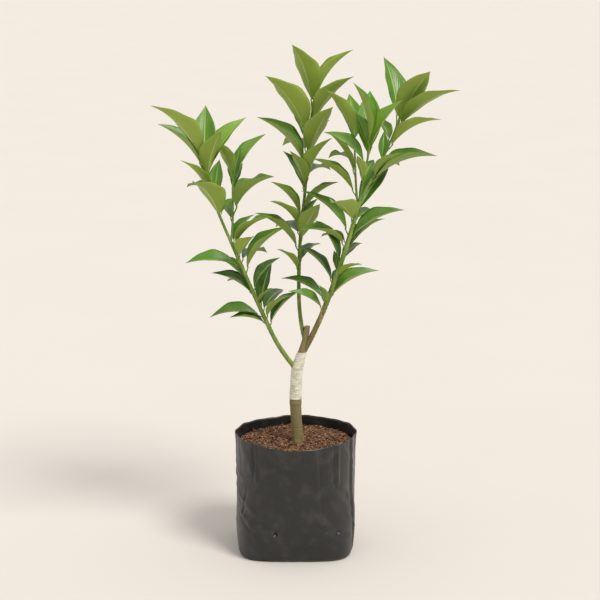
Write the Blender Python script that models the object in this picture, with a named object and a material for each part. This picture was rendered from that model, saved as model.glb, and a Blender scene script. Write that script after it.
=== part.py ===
"""A grafted sweet lime tree in a black grow bag, about 0.66 m tall.

The tree has a taped, root-flared trunk with a pruned leader, three boughs and nine leafy
shoots. Metres, +Z up, the viewer on the -Y side. The origin is the middle of the bag's flat
underside. Every shoot follows a short planting plan, one mark for each bud along its stem.
"""

import math
import re
from dataclasses import dataclass

import bmesh
import bpy
import numpy as np

# Fit between pieces
GAP = 0.0003

# Grow bag
BAG_HEIGHT = 0.155
BAG_HALF = np.array([0.0774, 0.0770])
FOOT_HALF = np.array([0.0730, 0.0635])
FOOT_TAPER = 0.042
FOOT_SQUARENESS = 2.3
BAG_WALL = 0.0010
RIM_WAVE = 0.0016
RIM_PLEAT = 0.0022
BAG_COLUMNS = 44
DRAIN_HOLES = 6
DRAIN_RADIUS = 0.0021
DRAIN_HEIGHT = 0.041
DRAIN_FIRST = math.radians(-109.0)

# Potting mix
SOIL_LEVEL = 0.1420
SOIL_BUMP = 0.0016
SOIL_COLLAR = 0.014
SOIL_ROOM = 0.0014

# Trunk stations: height above the soil, place along X, radius
TRUNK = (
    (0.0000, 0.0030, 0.0094),
    (0.0050, 0.0028, 0.0080),
    (0.0130, 0.0022, 0.0073),
    (0.0300, 0.0010, 0.0070),
    (0.0480, 0.0001, 0.0072),
    (0.0540, 0.0000, 0.0076),
    (0.0640, 0.0003, 0.0070),
    (0.0850, 0.0011, 0.0068),
    (0.0990, 0.0024, 0.0068),
    (0.1090, 0.0050, 0.0063),
    (0.1190, 0.0082, 0.0054),
    (0.1290, 0.0108, 0.0046),
    (0.1370, 0.0124, 0.0038),
    (0.1460, 0.0138, 0.0039),
    (0.1540, 0.0150, 0.0036),
)
TRUNK_SIDES = 10

# Grafting tape, wound on the trunk
TAPE_FROM = 0.0580
TAPE_TO = 0.1200
TAPE_THICKNESS = 0.0009

# Leaves
LEAF_WIDTH = 0.42
LEAF_WIDEST = 0.86
LEAF_THICKNESS = 1 / 60
PETIOLE = 0.15
PETIOLE_RADIUS = 0.0009
LEAN_STEP = math.radians(30.0)
MOST_TILT = math.radians(72.0)
MOST_STRETCH = 1.25
BLADE_ROWS = (0.10, 0.28, 0.50, 0.72, 0.90)
STALK_PARTS = np.array([[0.3], [0.6], [1.0]])
UP = np.array([0.0, 0.0, 1.0])
TO_VIEWER = np.array([0.0, -1.0, 0.0])

# Room that a leaf keeps
OTHER_LEAF_ROOM = 0.0050
OWN_LEAF_ROOM = 0.0022
LIMB_ROOM = 0.0030
ROOT_ROOM = 0.021
STALK_ROOM = 0.0016
SHOOT_REACH = 0.125
TURNS = tuple(math.radians(a * way) for a in (0, 7, 14, 21, 28, 36, 45, 55) for way in (1, -1))


@dataclass
class Limb:
    """One tapering limb: a smooth curve from start to end that leaves in the way `leaves`."""

    name: str
    start: tuple
    end: tuple
    leaves: tuple
    arrives: tuple
    radius: tuple
    parents: tuple = ()
    plan: str = ""
    seed: int = 0


# Limbs: metres from the origin, and the way each one leaves its parent and arrives at its tip.
# A plan has one mark for each bud, lowest first. A dot is a bud whose leaf has dropped. A leaf
# is the clock hour that it points at as seen from the front, then s side on, f for each step
# that it leans to the front or b to the back, then its length in centimetres.
BOUGHS = (
    Limb("left_bough", (0.0000, 0.0, 0.240), (-0.0300, -0.006, 0.288),
         (-0.75, -0.1, 1.0), (-0.45, -0.1, 1.0), (0.0032, 0.0027), ("trunk", "graft_tape")),
    Limb("middle_bough", (0.0122, 0.0, 0.277), (0.0042, 0.016, 0.350),
         (-0.30, 0.25, 1.0), (0.0, 0.15, 1.0), (0.0027, 0.0024), ("trunk",)),
    Limb("right_bough", (0.0098, 0.0, 0.262), (0.0342, -0.008, 0.315),
         (0.55, -0.1, 1.0), (0.38, -0.1, 1.0), (0.0038, 0.0033), ("trunk", "graft_tape")),
)
SHOOTS = (
    Limb("left_lower_shoot", (-0.0300, -0.006, 0.288), (-0.0830, -0.024, 0.416),
         (-0.45, -0.1, 1.0), (-0.42, -0.1, 1.0), (0.0027, 0.0020), ("left_bough",),
         "7.6s2.2 1.4s5.6 9.3s4.4 1.4f5.1 8.9s6.3 2bb5 .5b5.9 . 1.5f3.2 . 9.9s5.4 1.3s5.2 9bb5"
         " 10.2s4.9 . . 1.4s7.4 . 9.1s6.4 3bb5 1ff6.4 . . 1.6f7.1 1.4b4.4 9.9s6.8", 3),
    Limb("left_outer_shoot", (-0.0838, -0.0243, 0.418), (-0.1130, -0.044, 0.512),
         (-0.40, -0.2, 1.0), (-0.16, -0.2, 1.0), (0.0018, 0.0012), ("left_lower_shoot",),
         ". . . 11.1f7.5 . 2bb5 . . .2b5.4 . 10.8f6.4 9bb5 . . .6f7.2 1.2s7.6 12b8.2 10.5s7.0"
         " 10.8f9.8", 5),
    Limb("left_inner_shoot", (-0.0805, -0.0230, 0.412), (-0.0785, 0.008, 0.492),
         (0.15, 0.3, 1.0), (0.05, 0.3, 1.0), (0.0015, 0.0011),
         ("left_lower_shoot", "left_outer_shoot"),
         ". . . . 10bb5 . 1.5s6.8 . . 11.4ff6.6 2bb5 . .7b3.6 .4b5.3 1.2s6.4 11.2f5.8 .", 6),
    Limb("middle_lower_shoot", (0.0042, 0.016, 0.350), (0.0115, 0.033, 0.458),
         (0.0, 0.15, 1.0), (0.12, 0.15, 1.0), (0.0024, 0.0019), ("middle_bough",),
         ". . 10.7f4.5 . 2bb5 . . 10.4s6.9 . .8f6.3 . 9bb5 10.6f6.0 1.1b4.2 . 10.7s5.9 . 1.6s5.4"
         " . . .",
         13),
    Limb("middle_upper_shoot", (0.0116, 0.033, 0.459), (0.0245, 0.041, 0.584),
         (0.10, 0.1, 1.0), (0.22, 0.0, 1.0), (0.0019, 0.0012), ("middle_lower_shoot",),
         "11b6.1 11.3f6.0 .9s6.4 . 3bb5 . 10.5s8.1 . .8f8.3 . 9bb5 11.1b6.2 . 10.9f10.6 2bb5 ."
         " 1.3f9.0 . 10bb5 . . 11.4f8.8 1.2s7.7 11.2b5.9", 21),
    Limb("right_lower_shoot", (0.0342, -0.008, 0.315), (0.0800, -0.022, 0.462),
         (0.38, -0.1, 1.0), (0.24, -0.1, 1.0), (0.0033, 0.0024), ("right_bough",),
         "10s4.7 11.5f3.4 9.8b6.6 2.1s6.4 . 2bb5 . 10.4b6.8 . 1.9f3.9 11.7b2.8 . 11b6.8 2bb5 ."
         " 1.8b6.9 . 9.8f6.7 9bb5 2.1s6.9 10.3b8.4 . . 10.7ff7.4 3bb5 1.3s6.8 . . .", 34),
    Limb("right_outer_shoot", (0.0808, -0.0222, 0.4635), (0.1300, 0.010, 0.562),
         (0.55, 0.2, 1.0), (0.30, 0.2, 1.0), (0.0019, 0.0012), ("right_lower_shoot",),
         ". . . . 2.3s8.1 1.5s4.7 . 3bb5 . . .2b3.9 . . 1.9f8.0 . 11bb5 . . 1.8f9.4 .9f8.6"
         " 11.6b8.5 .", 55),
    Limb("right_centre_shoot", (0.0790, -0.0217, 0.458), (0.0905, -0.048, 0.536),
         (0.10, -0.35, 1.0), (0.05, -0.3, 1.0), (0.0016, 0.0011),
         ("right_lower_shoot", "right_outer_shoot"),
         ". . . . 1bb5 . 11.5f3.5 . . . 10.2s6.1 .1b8.5 11.8b5.2 1.1s6.8 11.3s4.3 11.5s7.3", 89),
    Limb("right_inner_shoot", (0.0780, -0.0214, 0.455), (0.0735, 0.012, 0.540),
         (-0.15, 0.35, 1.0), (-0.08, 0.3, 1.0), (0.0015, 0.0011),
         ("right_lower_shoot", "right_outer_shoot", "right_centre_shoot"),
         ". . 10.3s6.5 . . 2bb5 . 10.9f6.7 . . 9bb5 . . . . 11.8b6.2 11f7.8 .", 144),
)
LIMB_STEPS = 8
ROOT_DEPTH = 0.8
SHOOT_SIDES = 6
BOUGH_SIDES = 8


def unit(vector):
    """The vector at length one."""
    return vector / np.linalg.norm(vector)


def new_material(name, colour, roughness):
    """A plain shader of one colour."""
    material = bpy.data.materials.new(name)
    material.use_nodes = True
    shader = material.node_tree.nodes["Principled BSDF"]
    shader.inputs["Base Color"].default_value = (*colour, 1.0)
    shader.inputs["Roughness"].default_value = roughness
    shader.inputs["Metallic"].default_value = 0.0
    return material


def new_object(name, points, faces, material, smooth_angle=40.0):
    """A mesh object in the scene, shaded smooth up to an angle."""
    mesh = bpy.data.meshes.new(name)
    mesh.from_pydata([tuple(p) for p in points], [], [tuple(f) for f in faces])
    mesh.shade_smooth()
    mesh.set_sharp_from_angle(angle=math.radians(smooth_angle))
    mesh.materials.append(material)
    thing = bpy.data.objects.new(name, mesh)
    bpy.context.scene.collection.objects.link(thing)
    return thing


def lofted(rings):
    """Points and faces of a closed loft through rings of equal count, capped at both ends."""
    count = len(rings[0])
    points = np.concatenate(rings)
    faces = []
    for ring in range(len(rings) - 1):
        low, high = ring * count, (ring + 1) * count
        for k in range(count):
            after = (k + 1) % count
            faces.append((low + k, low + after, high + after, high + k))
    faces.append(tuple(reversed(range(count))))
    faces.append(tuple(range(len(points) - count, len(points))))
    return points, faces


def tube(path, radii, sides):
    """A closed tube of changing radius along a path, its rings square to the path."""
    tangents = np.gradient(path, axis=0)
    side = unit(np.cross(tangents[0], TO_VIEWER))
    angles = np.arange(sides) * 2 * math.pi / sides
    rings = []
    for centre, tangent, radius in zip(path, tangents, radii):
        tangent = unit(tangent)
        side = unit(side - np.dot(side, tangent) * tangent)
        other = np.cross(tangent, side)
        spoke = np.outer(np.cos(angles), side) + np.outer(np.sin(angles), other)
        rings.append(centre + radius * spoke)
    return lofted(rings)


def limb_curve(limb, steps=LIMB_STEPS):
    """Points and radii of a limb: a cubic that leaves and arrives along the limb's two ways."""
    start, end = np.array(limb.start), np.array(limb.end)
    reach = np.linalg.norm(end - start)
    leave, arrive = unit(np.array(limb.leaves)) * reach, unit(np.array(limb.arrives)) * reach
    t = np.linspace(0, 1, steps + 1)[:, None]
    path = (
        (2 * t**3 - 3 * t**2 + 1) * start
        + (t**3 - 2 * t**2 + t) * leave
        + (3 * t**2 - 2 * t**3) * end
        + (t**3 - t**2) * arrive
    )
    return path, np.linspace(limb.radius[0], limb.radius[1], steps + 1)


def trunk_curve(grow=0.0, low=0.0, high=None):
    """Points and radii of the trunk between two heights above the soil, grown by a margin."""
    stations = np.array(TRUNK)
    top = stations[-1, 0] if high is None else high
    inner = stations[(stations[:, 0] > low + 0.001) & (stations[:, 0] < top - 0.001), 0]
    heights = np.concatenate([[low], inner, [top]])
    across = np.interp(heights, stations[:, 0], stations[:, 1])
    radii = np.interp(heights, stations[:, 0], stations[:, 2]) + grow
    base = SOIL_LEVEL + GAP
    return np.column_stack([across, np.zeros_like(across), heights + base]), radii


def level_rings(path, radii, sides):
    """Level rings of an upright stem, so that its two ends are flat cuts."""
    angles = np.arange(sides) * 2 * math.pi / sides
    spoke = np.column_stack([np.cos(angles), np.sin(angles), np.zeros(sides)])
    return [centre + radius * spoke for centre, radius in zip(path, radii)]


def bag_radius(angles, height):
    """The bag's radius at each angle: a square foot that rounds off to the wavy rim."""
    up = min(max(height / BAG_HEIGHT, 0.0), 1.0)
    widen = math.sin(math.pi / 2 * min(height / FOOT_TAPER, 1.0))
    half = FOOT_HALF + (BAG_HALF - FOOT_HALF) * widen
    power = 2.0 + FOOT_SQUARENESS * (1.0 - up) ** 4
    cos, sin = np.abs(np.cos(angles)) / half[0], np.abs(np.sin(angles)) / half[1]
    radius = (cos**power + sin**power) ** (-1.0 / power)
    pleat = np.exp(-((np.abs(np.cos(angles)) - 1.0) / 0.008) ** 2)
    waves = RIM_WAVE * np.sin(3 * angles + 0.6) * 0.5 + RIM_PLEAT * pleat
    return radius + waves * up**5


def bag_ring(angles, height, inset=0.0, lift=0.0):
    """One ring of the bag's outline at a height, set in by a margin."""
    radius = bag_radius(angles, height) - inset
    level = np.full_like(radius, height) + lift
    return np.column_stack([radius * np.cos(angles), radius * np.sin(angles), level])


def build_bag(material):
    """The grow bag: a thin film round a square foot, open at its wavy rim, with drain holes."""
    angles = np.arange(BAG_COLUMNS) * 2 * math.pi / BAG_COLUMNS
    rim = RIM_WAVE * (0.6 * np.sin(2 * angles + 0.9) + 0.4 * np.sin(5 * angles))
    foot = ((0.0, 0.0042), (0.0012, 0.0012), (0.0042, 0.0))
    walls = (0.018, 0.042, 0.075, 0.110, 0.140)
    outside = [bag_ring(angles, height, inset) for height, inset in foot]
    outside += [bag_ring(angles, height) for height in (*walls, BAG_HEIGHT)]
    outside[-1][:, 2] += rim
    inside = [bag_ring(angles, BAG_HEIGHT, BAG_WALL)]
    inside[0][:, 2] += rim
    inside += [bag_ring(angles, height, BAG_WALL) for height in reversed(walls)]
    inside += [bag_ring(angles, 0.0052, BAG_WALL), bag_ring(angles, BAG_WALL, 0.0052)]
    points, faces = lofted(outside + inside)
    bag = new_object("grow_bag", points, faces, material)
    cutters = bpy.data.collections.new("drain_cutters")
    for hole in range(DRAIN_HOLES):
        angle = DRAIN_FIRST + hole * 2 * math.pi / DRAIN_HOLES
        out = np.array([math.cos(angle), math.sin(angle), 0.0])
        radius = bag_radius(np.array([angle]), DRAIN_HEIGHT)[0]
        centre = out * radius + UP * DRAIN_HEIGHT
        path = np.array([centre - out * 0.006, centre, centre + out * 0.006])
        drill_points, drill_faces = tube(path, [DRAIN_RADIUS] * 3, 10)
        drill = new_object(f"drain_cutter_{hole}", drill_points, drill_faces, material)
        bpy.context.scene.collection.objects.unlink(drill)
        cutters.objects.link(drill)
    join(bag, cutters, "DIFFERENCE")
    return bag


def build_mix(material):
    """The potting mix that fills the bag, with an uneven top round the trunk."""
    rng = np.random.default_rng(7)
    angles = np.arange(BAG_COLUMNS) * 2 * math.pi / BAG_COLUMNS
    inset = BAG_WALL + SOIL_ROOM
    rings = [bag_ring(angles, BAG_WALL + GAP, 0.0068), bag_ring(angles, 0.0065, inset)]
    rings += [bag_ring(angles, height, inset) for height in (0.018, 0.042, 0.075, 0.110)]
    edge = bag_ring(angles, SOIL_LEVEL - 0.003, inset)
    rings.append(edge)
    centre = np.array([TRUNK[0][1], 0.0, SOIL_LEVEL])
    for part in (0.86, 0.66, 0.46, 0.30):
        ring = centre + (edge - centre) * part
        ring[:, 2] = SOIL_LEVEL + rng.uniform(-1, 0.6, BAG_COLUMNS) * SOIL_BUMP
        rings.append(ring)
    collar = np.column_stack([np.cos(angles), np.sin(angles), np.zeros_like(angles)])
    rings.append(centre + SOIL_COLLAR * collar)
    return new_object("potting_mix", *lofted(rings), material, smooth_angle=20.0)


def build_trunk(material):
    """The trunk: flared at a flat foot, swollen at the graft, bent to a pruned leader."""
    rings = level_rings(*trunk_curve(), TRUNK_SIDES)
    return new_object("trunk", *lofted(rings), material)


def tape_rings(inner, outer, low, high, sides):
    """Rings of a sleeve on the trunk, up its outside and down its inside."""
    outside = level_rings(*trunk_curve(outer, low, high), sides)
    inside = level_rings(*trunk_curve(inner, low, high), sides)
    return outside + inside[::-1]


def build_tape(material):
    """The grafting tape: a thin sleeve wound on the trunk, clear of its bark."""
    rings = tape_rings(GAP, GAP + TAPE_THICKNESS, TAPE_FROM, TAPE_TO, TRUNK_SIDES)
    points = np.concatenate(rings)
    faces = []
    for ring in range(len(rings)):
        low = ring * TRUNK_SIDES
        high = (ring + 1) % len(rings) * TRUNK_SIDES
        for k in range(TRUNK_SIDES):
            after = (k + 1) % TRUNK_SIDES
            faces.append((low + k, low + after, high + after, high + k))
    return new_object("graft_tape", points, faces, material)


def join(thing, others, operation, solver="EXACT"):
    """Applies one Boolean of a collection to an object and removes the collection's objects."""
    boolean = thing.modifiers.new("join", "BOOLEAN")
    boolean.operation = operation
    boolean.solver = solver
    boolean.operand_type = "COLLECTION"
    boolean.collection = others
    bpy.context.scene.collection.children.link(others)
    bpy.context.view_layer.update()
    graph = bpy.context.evaluated_depsgraph_get()
    mesh = bpy.data.meshes.new_from_object(thing.evaluated_get(graph))
    thing.modifiers.remove(boolean)
    thing.data = mesh
    for other in list(others.objects):
        bpy.data.objects.remove(other)
    bpy.data.collections.remove(others)
    keep_largest_body(thing)


def keep_largest_body(thing):
    """Drops loose scraps and the walls of sealed hollows, which leaves one solid body."""
    work = bmesh.new()
    work.from_mesh(thing.data)
    bodies, seen = [], set()
    for first in work.faces:
        if first in seen:
            continue
        seen.add(first)
        body, edge_of = [first], [first]
        while edge_of:
            face = edge_of.pop()
            for edge in face.edges:
                for near in edge.link_faces:
                    if near not in seen:
                        seen.add(near)
                        body.append(near)
                        edge_of.append(near)
        bodies.append(body)
    bodies.sort(key=len)
    for body in bodies[:-1]:
        bmesh.ops.delete(work, geom=body, context="FACES")
    work.to_mesh(thing.data)
    work.free()


def clear_tube(name, material):
    """A cutter of a limb's own shape, grown by the gap on all sides."""
    if name == "trunk":
        path, radii = trunk_curve(GAP, -GAP, TRUNK[-1][0] + GAP)
        return new_object(name + "_cutter", *lofted(level_rings(path, radii, TRUNK_SIDES)), material)
    if name == "graft_tape":
        path, radii = trunk_curve(2 * GAP + TAPE_THICKNESS, TAPE_FROM - GAP, TAPE_TO + GAP)
        return new_object(name + "_cutter", *lofted(level_rings(path, radii, TRUNK_SIDES)), material)
    limb = next(limb for limb in (*BOUGHS, *SHOOTS) if limb.name == name)
    path, radii = limb_curve(limb)
    path[0] -= unit(path[1] - path[0]) * (ROOT_DEPTH * radii[0] + GAP)
    path[-1] += unit(path[-1] - path[-2]) * GAP
    sides = SHOOT_SIDES if limb in SHOOTS else BOUGH_SIDES
    return new_object(name + "_cutter", *tube(path, radii + 1.2 * GAP, sides), material)


def build_limb(limb, sides, material):
    """A limb's bare wood, rooted on its parent's axis and cut clear of its parents."""
    path, radii = limb_curve(limb)
    path[0] -= unit(path[1] - path[0]) * ROOT_DEPTH * radii[0]
    thing = new_object(limb.name, *tube(path, radii, sides), material)
    cutters = bpy.data.collections.new(limb.name + "_cutters")
    for parent in limb.parents:
        cutter = clear_tube(parent, material)
        bpy.context.scene.collection.objects.unlink(cutter)
        cutters.objects.link(cutter)
    join(thing, cutters, "DIFFERENCE")
    return thing


@dataclass
class Leaf:
    """One leaf: where its stalk roots, where its blade starts and how the blade is turned."""

    root: np.ndarray
    base: np.ndarray
    along: np.ndarray
    top: np.ndarray
    across: np.ndarray
    length: float
    fold: float
    arch: float

    def midrib(self, s):
        """The midrib's points at parts s of the blade: a chord bowed towards the top side."""
        bow = self.arch * (4 * s * (1 - s) - 0.35 * s**3)
        return self.base + self.length * (s[:, None] * self.along + bow[:, None] * self.top)

    def half_width(self, s):
        """Half the flat width at parts s: widest below the middle, drawn out to a point."""
        return 0.5 * LEAF_WIDTH * self.length * np.sin(math.pi * s**LEAF_WIDEST) ** 1.1

    def surface(self, s, u):
        """Points at parts s along and u across, from -1 to 1: two halves folded up in a V."""
        rise = np.abs(u) * math.sin(self.fold)
        out = u * math.cos(self.fold)
        width = self.half_width(s)[:, None]
        return self.midrib(s) + width * (out[:, None] * self.across + rise[:, None] * self.top)


def grow_leaf(mark, at, tangent, turn, rng_row):
    """A leaf from its mark in the plan, turned by an angle about the upright."""
    hour, lean, size = mark
    spread, roll, curl, scale = rng_row
    angle = math.radians(30.0 * hour)
    steps = lean.count("f") - lean.count("b")
    planned = LEAN_STEP * steps * (1.0 if abs(steps) < 2 else 0.9)
    tilt = planned + 0.10 * spread + turn
    tilt = max(-MOST_TILT, min(MOST_TILT, tilt))
    stretch = min(MOST_STRETCH, math.cos(planned) / math.cos(tilt))
    length = size * 0.01 * (1 + 0.03 * scale) * stretch
    flat = np.array([math.sin(angle), 0.0, math.cos(angle)])
    along = unit(flat * math.cos(tilt) + TO_VIEWER * math.sin(tilt))
    top = unit(UP + 0.5 * tangent - np.dot(UP + 0.5 * tangent, along) * along)
    across = np.cross(along, top)
    if np.dot(across, TO_VIEWER) < 0:
        across = -across
    rolled = math.radians(18.0 if lean == "s" else 0.0) + math.radians(9.0) * roll
    top, across = (
        top * math.cos(rolled) + across * math.sin(rolled),
        across * math.cos(rolled) - top * math.sin(rolled),
    )
    fold = math.radians(40.0 if lean == "s" else 24.0) + math.radians(5.0) * curl
    arch = 0.05 + 0.05 * abs(math.sin(angle)) + 0.01 * curl
    stalk = unit(0.6 * tangent + along + 3.0 * arch * top)
    base = at + stalk * PETIOLE * length
    return Leaf(at, base, along, top, across, length, fold, arch)


def leaf_samples(leaf):
    """Points all over a blade, which the rule measures its room from."""
    s, u = np.meshgrid(np.linspace(0.04, 1.0, 10), np.linspace(-1, 1, 5), indexing="ij")
    return leaf.surface(s.ravel(), u.ravel())


def nearest(points, others):
    """The least distance between two clouds of points."""
    if not len(others):
        return math.inf
    return math.sqrt(((points[:, None, :] - others[None, :, :]) ** 2).sum(axis=2).min())


def has_room(samples, stalk, limb, wood, other_leaves, own_leaves, at):
    """Whether a blade stays in its shoot's space and clear of limbs and of other leaves."""
    spine = limb_curve(limb)[0]
    gaps = np.sqrt(((samples[:, None, :] - spine[None, :, :]) ** 2).sum(axis=2)).min(axis=1)
    if gaps.max() > SHOOT_REACH or samples[:, 2].min() < BAG_HEIGHT:
        return False
    free = np.linalg.norm(samples - at, axis=1) > ROOT_ROOM
    for name, (path, radii) in wood.items():
        near = samples[free] if name == limb.name else samples
        reach = np.sqrt(((near[:, None, :] - path[None, :, :]) ** 2).sum(axis=2)) - radii
        if reach.min() < LIMB_ROOM:
            return False
        reach = np.sqrt(((stalk[:, None, :] - path[None, :, :]) ** 2).sum(axis=2)) - radii
        if name != limb.name and reach.min() < STALK_ROOM:
            return False
    if nearest(samples, other_leaves) < OTHER_LEAF_ROOM:
        return False
    return nearest(samples[free], own_leaves) > OWN_LEAF_ROOM


def read_plan(plan):
    """The plan's marks: None for a dropped leaf, else its hour, its lean and its length."""
    marks = []
    for word in plan.split():
        found = re.fullmatch(r"([\d.]+?)([sfb]+)([\d.]+)", word)
        marks.append((float(found[1]), found[2], float(found[3])) if found else None)
    return marks


def grow_leaves():
    """Every shoot's leaves, by name. A leaf with no room turns aside, and else is skipped."""
    wood = {"trunk": trunk_curve()}
    for limb in (*BOUGHS, *SHOOTS):
        wood[limb.name] = limb_curve(limb, steps=40)
    grown, clouds = {}, {}
    for limb in SHOOTS:
        rng = np.random.default_rng(limb.seed)
        marks = read_plan(limb.plan)
        path = wood[limb.name][0]
        parts = np.linspace(0.02, 0.95, len(marks)) * (len(path) - 1)
        ways = np.gradient(path, axis=0)
        leaves, cloud = [], np.empty((0, 3))
        others = np.concatenate([np.empty((0, 3)), *clouds.values()])
        for mark, part, row in zip(marks, parts, rng.uniform(-1, 1, (len(marks), 4))):
            if mark is None:
                continue
            at = np.array([np.interp(part, np.arange(len(path)), path[:, k]) for k in range(3)])
            tangent = unit(ways[int(part)])
            for turn in TURNS:
                leaf = grow_leaf(mark, at, tangent, turn, row)
                samples = leaf_samples(leaf)
                stalk = leaf.root + STALK_PARTS * (leaf.base - leaf.root)
                if has_room(samples, stalk, limb, wood, others, cloud, at):
                    leaves.append(leaf)
                    far = np.linalg.norm(samples - at, axis=1) > ROOT_ROOM
                    cloud = np.concatenate([cloud, samples[far]])
                    break
        grown[limb.name], clouds[limb.name] = leaves, cloud
    return grown


def leaf_solid(leaf):
    """A leaf as a loft of four-cornered rings: a stalk that opens into a thin folded blade."""
    half = 0.5 * LEAF_THICKNESS * leaf.length
    rows = np.array(BLADE_ROWS)
    middle = leaf.midrib(rows)
    left, right = leaf.surface(rows, -np.ones_like(rows)), leaf.surface(rows, np.ones_like(rows))
    rings = []
    way = unit(leaf.base - leaf.root)
    upper = unit(leaf.top - np.dot(leaf.top, way) * way)
    beside = np.cross(way, upper) * math.copysign(1.0, np.dot(np.cross(way, upper), leaf.across))
    for centre in (leaf.root, leaf.base):
        ring = [-beside, -upper, beside, upper]
        rings.append(centre + PETIOLE_RADIUS * np.array(ring))
    for k in range(len(rows)):
        rings.append(np.array([left[k], middle[k] - half * leaf.top, right[k],
                               middle[k] + half * leaf.top]))
    points, faces = lofted(rings)
    tip = leaf.midrib(np.array([1.0]))
    last = len(points)
    faces.pop()
    faces += [(last - 4 + k, last - 4 + (k + 1) % 4, last) for k in range(4)]
    if np.dot(np.cross(leaf.along, leaf.top), leaf.across) < 0:
        return np.concatenate([points, tip]), faces
    return np.concatenate([points, tip]), [face[::-1] for face in faces]


def build_shoot(limb, leaves, material):
    """A leafy shoot: its stem with every leaf's stalk sunk in, fused in one solid."""
    shoot = build_limb(limb, SHOOT_SIDES, material)
    blades = bpy.data.collections.new(limb.name + "_leaves")
    for number, leaf in enumerate(leaves):
        blade = new_object(f"{limb.name}_leaf_{number}", *leaf_solid(leaf), material)
        bpy.context.scene.collection.objects.unlink(blade)
        blades.objects.link(blade)
    join(shoot, blades, "UNION", solver="MANIFOLD")
    shoot.data.shade_smooth()
    shoot.data.set_sharp_from_angle(angle=math.radians(50.0))
    return shoot


def main():
    """Builds the whole potted tree."""
    for thing in list(bpy.data.objects):
        bpy.data.objects.remove(thing)
    film = new_material("black_film", (0.020, 0.020, 0.018), 0.35)
    coir = new_material("coir_mix", (0.16, 0.075, 0.035), 0.95)
    bark = new_material("olive_bark", (0.19, 0.15, 0.06), 0.80)
    tape = new_material("clear_tape", (0.42, 0.40, 0.33), 0.40)
    green_bark = new_material("green_bark", (0.14, 0.17, 0.03), 0.60)
    leaf_green = new_material("leaf_green", (0.13, 0.28, 0.02), 0.40)
    build_bag(film)
    build_mix(coir)
    build_trunk(bark)
    build_tape(tape)
    for limb in BOUGHS:
        build_limb(limb, BOUGH_SIDES, green_bark)
    grown = grow_leaves()
    for limb in SHOOTS:
        build_shoot(limb, grown[limb.name], leaf_green)


if __name__ == "__main__":
    main()
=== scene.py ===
"""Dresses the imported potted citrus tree: folded leaves, bark, graft tape, grow bag and coir.

Metres, +Z up, the viewer on the -Y side, the origin at the middle of the bag's underside. The
leaves grow by the same seeded rule and planting plans as the solids.
"""

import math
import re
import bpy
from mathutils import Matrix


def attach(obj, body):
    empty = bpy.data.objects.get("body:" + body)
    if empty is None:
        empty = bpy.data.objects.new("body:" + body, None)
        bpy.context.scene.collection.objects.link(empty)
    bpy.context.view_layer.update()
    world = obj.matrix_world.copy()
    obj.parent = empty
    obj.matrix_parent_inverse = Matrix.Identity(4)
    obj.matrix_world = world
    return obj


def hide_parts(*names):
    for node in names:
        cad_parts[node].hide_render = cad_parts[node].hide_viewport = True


bl_info = {
    "name": "Potted citrus tree",
    "version": (1, 0, 0),
    "blender": (4, 5, 0),
    "location": "View3D > Sidebar > Citrus",
    "description": "Builds the detailed pieces of a potted citrus tree",
    "category": "Object",
}

from dataclasses import dataclass

import bpy
import numpy as np
from mathutils import Vector

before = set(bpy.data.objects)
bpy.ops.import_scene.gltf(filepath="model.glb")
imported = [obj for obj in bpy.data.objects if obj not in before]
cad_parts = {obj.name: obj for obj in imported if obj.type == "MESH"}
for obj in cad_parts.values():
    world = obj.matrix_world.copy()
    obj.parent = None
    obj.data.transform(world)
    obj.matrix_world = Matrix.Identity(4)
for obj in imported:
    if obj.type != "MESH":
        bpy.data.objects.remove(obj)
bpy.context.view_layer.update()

# Shape shared with the solids
GAP = 0.0003
BAG_HEIGHT = 0.155
BAG_HALF = np.array([0.0774, 0.0770])
FOOT_HALF = np.array([0.0730, 0.0635])
FOOT_TAPER = 0.042
FOOT_SQUARENESS = 2.3
RIM_WAVE = 0.0016
RIM_PLEAT = 0.0022
DRAIN_HOLES = 6
DRAIN_RADIUS = 0.0021
DRAIN_HEIGHT = 0.041
DRAIN_FIRST = math.radians(-109.0)
SOIL_LEVEL = 0.1420
TRUNK = (
    (0.0000, 0.0030, 0.0094), (0.0050, 0.0028, 0.0080), (0.0130, 0.0022, 0.0073),
    (0.0300, 0.0010, 0.0070), (0.0480, 0.0001, 0.0072), (0.0540, 0.0000, 0.0076),
    (0.0640, 0.0003, 0.0070), (0.0850, 0.0011, 0.0068), (0.0990, 0.0024, 0.0068),
    (0.1090, 0.0050, 0.0063), (0.1190, 0.0082, 0.0054), (0.1290, 0.0108, 0.0046),
    (0.1370, 0.0124, 0.0038), (0.1460, 0.0138, 0.0039), (0.1540, 0.0150, 0.0036),
)
TAPE_FROM = 0.0580
TAPE_TO = 0.1200
LEAF_WIDTH = 0.42
LEAF_WIDEST = 0.86
PETIOLE = 0.15
LEAN_STEP = math.radians(30.0)
MOST_TILT = math.radians(72.0)
MOST_STRETCH = 1.25
STALK_PARTS = np.array([[0.3], [0.6], [1.0]])
UP = np.array([0.0, 0.0, 1.0])
TO_VIEWER = np.array([0.0, -1.0, 0.0])
OTHER_LEAF_ROOM = 0.0050
OWN_LEAF_ROOM = 0.0022
LIMB_ROOM = 0.0030
ROOT_ROOM = 0.021
STALK_ROOM = 0.0016
SHOOT_REACH = 0.125
TURNS = tuple(math.radians(a * way) for a in (0, 7, 14, 21, 28, 36, 45, 55) for way in (1, -1))

# Rows and columns of the finished grids
TRUNK_ROWS = 300
TAPE_ROWS = 360
TAPE_LINING_ROWS = 40
TAPE_COLUMNS = 128
STEM_STEPS = 90
BAG_LINING_ROWS = 60
MIX_COLUMNS = 200

# Radius of the fold round the bag's foot
FOOT_CURVE = 0.0044

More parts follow.
